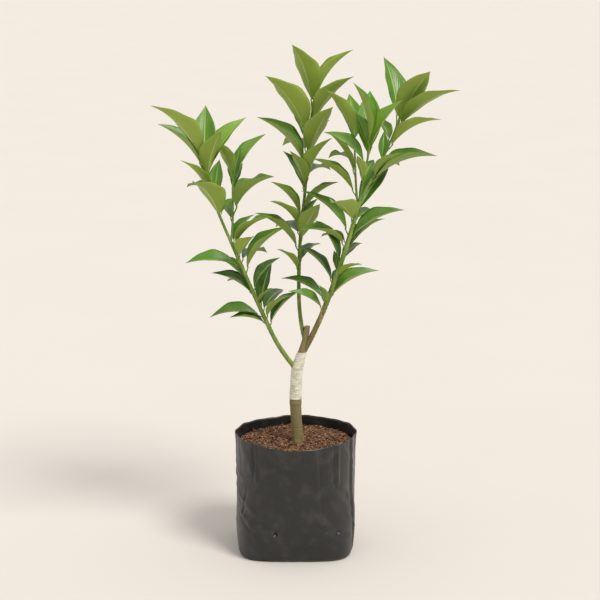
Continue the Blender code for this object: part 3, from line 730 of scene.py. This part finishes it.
def film_relief(angles, height):
    """How far the film stands out: a slow double sine, less a bell across each crease line with
    a shallower bell beside it, less a flat-bottomed dimple at each drain hole."""
    girth = 2 * math.pi * BAG_HALF[0]
    place = (angles + math.pi / 2) * BAG_HALF[0]
    rng = np.random.default_rng(77)
    lines = list(BAG_CREASES)
    for _ in range(44):
        across, up = rng.uniform(-0.5, 0.5) * girth, rng.uniform(0.012, 0.148)
        way = rng.uniform(-0.9, 0.9) + math.pi / 2 * rng.integers(0, 2)
        long = rng.uniform(0.02, 0.06)
        lines.append((across, up, across + long * math.cos(way), up + long * math.sin(way),
                      rng.uniform(0.0018, 0.0050), rng.uniform(0.0003, 0.0009)))
    relief = 0.0006 * np.sin(4 * angles + 9 * height / BAG_HEIGHT) * np.sin(31 * height + 2 * angles)
    for x0, z0, x1, z1, width, depth in lines:
        long = math.hypot(x1 - x0, z1 - z0)
        ux, uz = (x1 - x0) / long, (z1 - z0) / long
        dx = (place - x0 + girth / 2) % girth - girth / 2
        dz = height - z0
        along, across = dx * ux + dz * uz, dz * ux - dx * uz
        past = np.maximum(0, np.maximum(-along, along - long)) / 0.008
        shape = bell(across, 0.0, width) - 0.55 * bell(across, 2 * width, width)
        relief -= depth * shape * np.exp(-(past**2))
    for hole in range(DRAIN_HOLES):
        angle = DRAIN_FIRST + hole * 2 * math.pi / DRAIN_HOLES
        dx = ((angles - angle + math.pi) % (2 * math.pi) - math.pi) * BAG_HALF[0]
        far = np.hypot(dx, height - DRAIN_HEIGHT) / DRAIN_RADIUS
        relief -= 0.0030 / (1 + far**8) - 0.0005 * np.exp(-(((far - 1.35) / 0.3) ** 2))
    return relief * np.clip(height / 0.006, 0, 1)


def bag_rings(settings):
    """Rings of the film, up its outside, over its rim and down its inside: the bag's radius less
    a quarter-circle inset at the foot, plus the relief, with a wavy rim."""
    columns = settings.columns
    angles = np.linspace(0, 2 * math.pi, columns, endpoint=False)
    bend = np.linspace(0, math.pi / 2, 7)
    outer = np.concatenate([FOOT_CURVE * (1 - np.cos(bend)),
                            np.linspace(FOOT_CURVE, BAG_HEIGHT, settings.rows)[1:]])
    inset = np.concatenate([FOOT_CURVE * (1 - np.sin(bend)), np.zeros(settings.rows - 1)])
    inner = np.linspace(BAG_HEIGHT, 0.006, BAG_LINING_ROWS)
    heights = np.concatenate([outer, inner])
    insets = np.concatenate([inset, np.full(BAG_LINING_ROWS, settings.film)])
    grid_h, grid_a = np.meshgrid(heights, angles, indexing="ij")
    wave = RIM_WAVE * (0.6 * np.sin(2 * angles + 0.9) + 0.4 * np.sin(5 * angles))
    wave += 0.0005 * np.sin(17 * angles + 0.4) * np.sin(3 * angles)
    radius = bag_radius(grid_a, grid_h) - insets[:, None] + film_relief(grid_a, grid_h)
    level = grid_h + wave[None, :] * (grid_h / BAG_HEIGHT) ** 8
    return np.stack([radius * np.cos(grid_a), radius * np.sin(grid_a), level], -1)


def smooth_trunk(heights):
    """The trunk's place and radius at each height, its stations eased by a moving average."""
    stations = np.array(TRUNK)
    fine = np.linspace(-0.004, 0.158, 400)
    across = np.interp(fine, stations[:, 0], stations[:, 1])
    radii = np.interp(fine, stations[:, 0], stations[:, 2])
    kernel = np.hanning(13) / np.hanning(13).sum()
    across = np.convolve(np.pad(across, 6, mode="edge"), kernel, "valid")
    radii = np.convolve(np.pad(radii, 6, mode="edge"), kernel, "valid")
    return np.interp(heights, fine, across), np.interp(heights, fine, radii)


def bell(value, centre, width):
    """A bell: one at the centre, fading with the square of the distance over the width."""
    return np.exp(-(((value - centre) / width) ** 2))


def bark_relief(angles, height, depth):
    """Bark: ridges along the trunk whose sines drift with height, and faint rings."""
    ridges = np.sin(9 * angles + 60 * height + 2 * np.sin(3 * angles + 90 * height))
    ridges += 0.6 * np.sin(17 * angles - 110 * height + 1.3)
    ridges += 0.5 * np.sin(31 * angles + 300 * height) * np.sin(700 * height + 5 * angles)
    rings = 1.2 * bell(height, *GRAFT_RING) - 1.5 * bell(height, *SCAR_RING)
    return depth * (0.5 * ridges + rings)


def build_trunk(settings):
    """The trunk as level rings: the eased radius plus bark relief, a bell of callus on one side
    and three root ridges that fade by a bell above the foot, closed over the healed cut."""
    top = TRUNK[-1][0]
    heights = np.concatenate([np.linspace(0, top, TRUNK_ROWS), [top, top, top - 0.0003]])
    shrink = np.concatenate([np.ones(TRUNK_ROWS), [0.94, 0.72, 0.35]])
    shrink[0] = 0.985
    angles = np.linspace(0, 2 * math.pi, settings.sides * 2, endpoint=False)
    across, radii = smooth_trunk(heights)
    grid_h, grid_a = np.meshgrid(heights, angles, indexing="ij")
    radius = radii[:, None] * shrink[:, None] + bark_relief(grid_a, grid_h, settings.relief)
    callus = 0.0011 * bell(grid_h, *CALLUS)
    aside = (grid_a - CALLUS_SIDE + math.pi) % (2 * math.pi) - math.pi
    radius += callus * bell(aside, 0.0, 0.5)
    foot = bell(grid_h, 0.0, 0.006)
    flare = 0.0009 * np.sin(3 * grid_a + 0.7) * foot
    radius += flare - np.abs(flare.min()) * foot
    return np.stack([across[:, None] + radius * np.cos(grid_a), radius * np.sin(grid_a),
                     grid_h + SOIL_LEVEL + GAP], -1)


def build_tape(settings):
    """The tape's sleeve: each turn laps the last by a saw-tooth step, and it creases in rings."""
    heights = np.concatenate([np.linspace(TAPE_FROM, TAPE_TO, TAPE_ROWS),
                              np.linspace(TAPE_TO, TAPE_FROM, TAPE_LINING_ROWS)])
    angles = np.linspace(0, 2 * math.pi, TAPE_COLUMNS, endpoint=False)
    across, radii = smooth_trunk(heights)
    grid_h, grid_a = np.meshgrid(heights, angles, indexing="ij")
    turns = (grid_h - TAPE_FROM) / (TAPE_TO - TAPE_FROM) * settings.tape_turns
    lap = (turns + grid_a / (2 * math.pi)) % 1.0
    crease = 0.00012 * np.sin(900 * grid_h + 2 * np.sin(grid_a * 2))
    crease += 0.00018 * np.sin(260 * grid_h + 3 * grid_a)
    outer = np.arange(len(heights)) < TAPE_ROWS
    lift = np.where(outer[:, None], 0.00065 + 0.00038 * lap + crease, 0.0003)
    radius = radii[:, None] + lift
    return np.stack([across[:, None] + radius * np.cos(grid_a), radius * np.sin(grid_a),
                     grid_h + SOIL_LEVEL + GAP], -1)


def stem_rings(limb, buds, sides, sink):
    """A stem: rings along its cubic, swollen at each bud by a bell and lightly ridged."""
    path, radii = limb_curve(limb, STEM_STEPS)
    t = np.linspace(0, 1, len(path))
    swell = sum(np.exp(-(((t - bud) / 0.007) ** 2)) for bud in buds) if len(buds) else 0 * t
    angles = np.linspace(0, 2 * math.pi, sides, endpoint=False)
    ridge = 0.03 * np.sin(3 * angles[None, :] + 8 * t[:, None])
    if sink:
        path[0] -= unit(path[1] - path[0]) * sink
    return swept(path, radii[:, None] * (1 + 0.16 * np.clip(swell, 0, 1)[:, None] + ridge), sides)


def chip_meshes(count, rng, spread):
    """Coir chips: slabs of eight corners scaled at random, pitched and turned, their centres
    spread evenly over the mix by the square root of a random reach."""
    angle, out = rng.uniform(0, 2 * math.pi, count), np.sqrt(rng.uniform(0, 1, count))
    reach = spread(angle) * out
    centre = np.stack([reach * np.cos(angle), reach * np.sin(angle),
                       SOIL_LEVEL + rng.uniform(-0.0015, 0.0016, count)], -1)
    size = np.stack([rng.uniform(0.0012, 0.0050, count), rng.uniform(0.0007, 0.0019, count),
                     rng.uniform(0.0003, 0.0009, count)], -1)
    corner = np.array([[x, y, z] for x in (-1, 1) for y in (-1, 1) for z in (-1, 1)], float)
    points = corner[None] * size[:, None] * rng.uniform(0.6, 1.0, (count, 8, 1))
    turn, pitch = rng.uniform(0, 2 * math.pi, count), rng.normal(0, 0.35, count)
    cos, sin = np.cos(pitch)[:, None], np.sin(pitch)[:, None]
    x, z = points[..., 0] * cos - points[..., 2] * sin, points[..., 0] * sin + points[..., 2] * cos
    cos, sin = np.cos(turn)[:, None], np.sin(turn)[:, None]
    x, y = x * cos - points[..., 1] * sin, x * sin + points[..., 1] * cos
    points = np.stack([x, y, z], -1) + centre[:, None]
    quads = np.array([[0, 1, 3, 2], [4, 6, 7, 5], [0, 4, 5, 1], [2, 3, 7, 6], [0, 2, 6, 4],
                      [1, 5, 7, 3]])
    faces = (np.arange(count)[:, None, None] * 8 + quads[None]).reshape(-1, 4)
    return points.reshape(-1, 3), faces, np.repeat(rng.uniform(0.0, 1.0, count) ** 1.3, 8)


class CITRUS_OT_bag(bpy.types.Operator):
    """Build the grow bag's film, with its creases, pleats and drain holes"""

    bl_idname = "citrus.bag"
    bl_label = "Grow bag"

    def execute(self, context):
        points, faces = capped_grid(bag_rings(context.scene.citrus_bag))
        put("grow_bag_film", points, faces, [new_material("black_film", film_nodes)],
            ["grow_bag"])
        return {"FINISHED"}


class CITRUS_OT_mix(bpy.types.Operator):
    """Build the potting mix, with its chips and its loose fibres"""

    bl_idname = "citrus.mix"
    bl_label = "Potting mix"

    def execute(self, context):
        settings = context.scene.citrus_bag
        coir = new_material("coir", coir_nodes)
        rng = np.random.default_rng(7)

        def spread(angle):
            """The mix's reach at an angle: the film's inside, less a hair."""
            level = np.full_like(angle, SOIL_LEVEL)
            return bag_radius(angle, level) + film_relief(angle, level) - settings.film - 0.0006

        angles = np.linspace(0, 2 * math.pi, MIX_COLUMNS, endpoint=False)
        rings = [np.stack([spread(angles) * part * np.cos(angles),
                           spread(angles) * part * np.sin(angles), np.full(MIX_COLUMNS, level)], -1)
                 for part, level in ((0.5, 0.120), (0.92, 0.120), (0.985, SOIL_LEVEL - 0.006))]
        for part in np.linspace(1.0, 0.06, 60):
            x, y = spread(angles) * part * np.cos(angles), spread(angles) * part * np.sin(angles)
            rough = np.sin(410 * x + 3 * np.sin(230 * y)) + np.sin(370 * y + 2 * np.sin(290 * x))
            rough = rough + np.sin(900 * x + 700 * y) * 0.5
            rings.append(np.stack([x, y, SOIL_LEVEL - 0.0012 + 0.0005 * rough], -1))
        points, faces = capped_grid(np.array(rings))
        tone = 0.22 + 0.2 * np.random.default_rng(8).uniform(0, 1, len(points))
        put("coir_bed", points, faces, [coir], ["potting_mix"], {"tone": tone})
        points, faces, tone = chip_meshes(settings.chips, rng, lambda a: spread(a) - 0.005)
        put("coir_chips", points, faces.tolist(), [coir], ["potting_mix"], {"tone": tone})
        parts, tones = [], []
        for _ in range(settings.fibres):
            angle, out = rng.uniform(0, 2 * math.pi), math.sqrt(rng.uniform(0, 1)) * 0.060
            way, long = rng.uniform(0, 2 * math.pi), rng.uniform(0.004, 0.013)
            t = np.linspace(-0.5, 0.5, 6)
            bow, rise = rng.normal(0, 0.25) * long, rng.uniform(0, 0.2) * long
            x = math.cos(angle) * out + long * t * math.cos(way) - bow * t**2 * math.sin(way)
            y = math.sin(angle) * out + long * t * math.sin(way) + bow * t**2 * math.cos(way)
            z = SOIL_LEVEL + 0.0014 + rise * (t + 0.5) + 0.0006 * np.sin(7 * t)
            path = np.column_stack([x, y, z])
            parts.append(capped_grid(swept(path, np.full(6, rng.uniform(0.00010, 0.00022)), 4)))
            tones.append(np.full(len(parts[-1][0]), rng.uniform(0.4, 1.0)))
        points, faces = joined(parts)
        put("coir_fibres", points, faces, [coir], ["potting_mix"],
            {"tone": np.concatenate(tones)})
        return {"FINISHED"}


class CITRUS_OT_trunk(bpy.types.Operator):
    """Build the trunk with its bark and the tape wound on its graft"""

    bl_idname = "citrus.trunk"
    bl_label = "Trunk and tape"

    def execute(self, context):
        settings = context.scene.citrus_wood
        points, faces = capped_grid(build_trunk(settings))
        put("trunk_bark", points, faces, [new_material("bark", bark_nodes)], ["trunk"])
        rings = build_tape(settings)
        rows, columns = rings.shape[:2]
        index = grid_faces(rows + 1, columns, True) % (rows * columns)
        put("graft_tape_wound", rings.reshape(-1, 3), index.tolist(),
            [new_material("milky_tape", tape_nodes)], ["graft_tape"])
        return {"FINISHED"}


class CITRUS_OT_boughs(bpy.types.Operator):
    """Build the three boughs with their bark and node rings"""

    bl_idname = "citrus.boughs"
    bl_label = "Boughs"

    def execute(self, context):
        young = new_material("young_bark", limb_nodes)
        for limb in BOUGHS:
            buds, brown = BOUGH_LOOKS[limb.name]
            rings = stem_rings(limb, buds, context.scene.citrus_wood.sides // 2, 0.002)
            points, faces = capped_grid(rings)
            put(limb.name + "_bark", points, faces, [young], [limb.name],
                {"brown": np.full(len(points), brown)})
        return {"FINISHED"}


class CITRUS_OT_shoots(bpy.types.Operator):
    """Grow every shoot: its stem and petioles as one piece, its leaves as another"""

    bl_idname = "citrus.shoots"
    bl_label = "Leafy shoots"

    def execute(self, context):
        settings = context.scene.citrus_leaf
        young = new_material("young_bark", limb_nodes)
        sides = [new_material("leaf_top", leaf_top_nodes),
                 new_material("leaf_under", leaf_under_nodes)]
        grown, buds = grow_leaves()
        for limb in SHOOTS:
            leaves = grown[limb.name]
            phases = np.random.default_rng(limb.seed + 500).uniform(0, 2 * math.pi, len(leaves))
            made, faces, start = [], [], 0
            for leaf, phase in zip(leaves, phases):
                skin = leaf_skin(leaf, settings.rows, settings.columns, settings.thickness,
                                 settings.wave, phase)
                made.append((*skin, np.full(len(skin[0]), leaf.tone)))
                faces.append(skin[1] + start)
                start += len(skin[0])
            put(limb.name + "_leaves", np.concatenate([m[0] for m in made]),
                np.concatenate(faces).tolist(), sides, [limb.name],
                {"tone": np.concatenate([m[5] for m in made]),
                 "along": np.concatenate([m[3] for m in made]),
                 "off_middle": np.concatenate([m[4] for m in made])},
                np.concatenate([m[2] for m in made]))
            parts = [capped_grid(stem_rings(limb, buds[limb.name], 20, 0.001))]
            parts += [stalk_skin(leaf) for leaf in leaves]
            points, wood_faces = joined(parts)
            brown = np.clip((0.42 - points[:, 2]) / 0.1, 0, 1)
            brown *= 0.8 if "right" in limb.name else 0.2
            put(limb.name + "_wood", points, wood_faces, [young], [limb.name],
                {"brown": brown})
        return {"FINISHED"}


class CITRUS_OT_stage(bpy.types.Operator):
    """Set the floor, the lights and the camera of the photograph"""

    bl_idname = "citrus.stage"
    bl_label = "Stage"

    def execute(self, context):
        settings = context.scene.citrus_stage
        scene = context.scene
        half = settings.floor
        mesh = bpy.data.meshes.new("floor")
        mesh.from_pydata([(-half, -half, 0), (half, -half, 0), (half, half, 0), (-half, half, 0)],
                         [], [(0, 1, 2, 3)])
        mesh.materials.append(new_material("pale_floor", floor_nodes))
        floor = bpy.data.objects.new("floor", mesh)
        scene.collection.objects.link(floor)
        world = bpy.data.worlds.new("studio")
        scene.world = world
        world.use_nodes = True
        shade = world.node_tree.nodes["Background"]
        shade.inputs[0].default_value = (1.0, 0.97, 0.93, 1.0)
        shade.inputs[1].default_value = settings.fill
        key = bpy.data.lights.new("key", "SUN")
        key.energy = settings.key
        key.angle = KEY_SPREAD
        key.color = (1.0, 0.97, 0.92)
        lamp = bpy.data.objects.new("key", key)
        lamp.rotation_euler = Vector(KEY_FROM).to_track_quat("Z", "Y").to_euler()
        scene.collection.objects.link(lamp)
        camera = bpy.data.cameras.new("camera")
        camera.sensor_width = CAMERA_SENSOR
        camera.lens = CAMERA_LENS
        camera.clip_end = 500.0
        view = bpy.data.objects.new("camera", camera)
        view.location = CAMERA_PLACE
        view.rotation_euler = (CAMERA_TILT, 0.0, 0.0)
        scene.collection.objects.link(view)
        scene.camera = view
        scene.view_settings.view_transform = "Standard"
        return {"FINISHED"}


class CITRUS_PT_panel(bpy.types.Panel):
    """The sizes and the steps, in the 3D view's sidebar"""

    bl_label = "Potted citrus"
    bl_idname = "CITRUS_PT_panel"
    bl_space_type = "VIEW_3D"
    bl_region_type = "UI"
    bl_category = "Citrus"

    def draw(self, context):
        for group, steps in STEPS:
            box = self.layout.box()
            settings = getattr(context.scene, group)
            for key in settings.__annotations__:
                box.prop(settings, key)
            for step in steps:
                box.operator("citrus." + step)


STEPS = (
    ("citrus_bag", ("bag", "mix")),
    ("citrus_wood", ("trunk", "boughs")),
    ("citrus_leaf", ("shoots",)),
    ("citrus_stage", ("stage",)),
)
GROUPS = {"citrus_bag": BagSettings, "citrus_wood": WoodSettings, "citrus_leaf": LeafSettings,
          "citrus_stage": StageSettings}
CLASSES = (*GROUPS.values(), CITRUS_OT_bag, CITRUS_OT_mix, CITRUS_OT_trunk, CITRUS_OT_boughs,
           CITRUS_OT_shoots, CITRUS_OT_stage, CITRUS_PT_panel)


def register():
    """Registers the classes and their settings."""
    for made in CLASSES:
        bpy.utils.register_class(made)
    for name, group in GROUPS.items():
        setattr(bpy.types.Scene, name, bpy.props.PointerProperty(type=group))


def unregister():
    """Removes the settings and the classes."""
    for name in GROUPS:
        delattr(bpy.types.Scene, name)
    for made in reversed(CLASSES):
        bpy.utils.unregister_class(made)


def main():
    """Builds every piece."""
    register()
    for _, steps in STEPS:
        for step in steps:
            getattr(bpy.ops.citrus, step)()


if __name__ == "__main__":
    main()
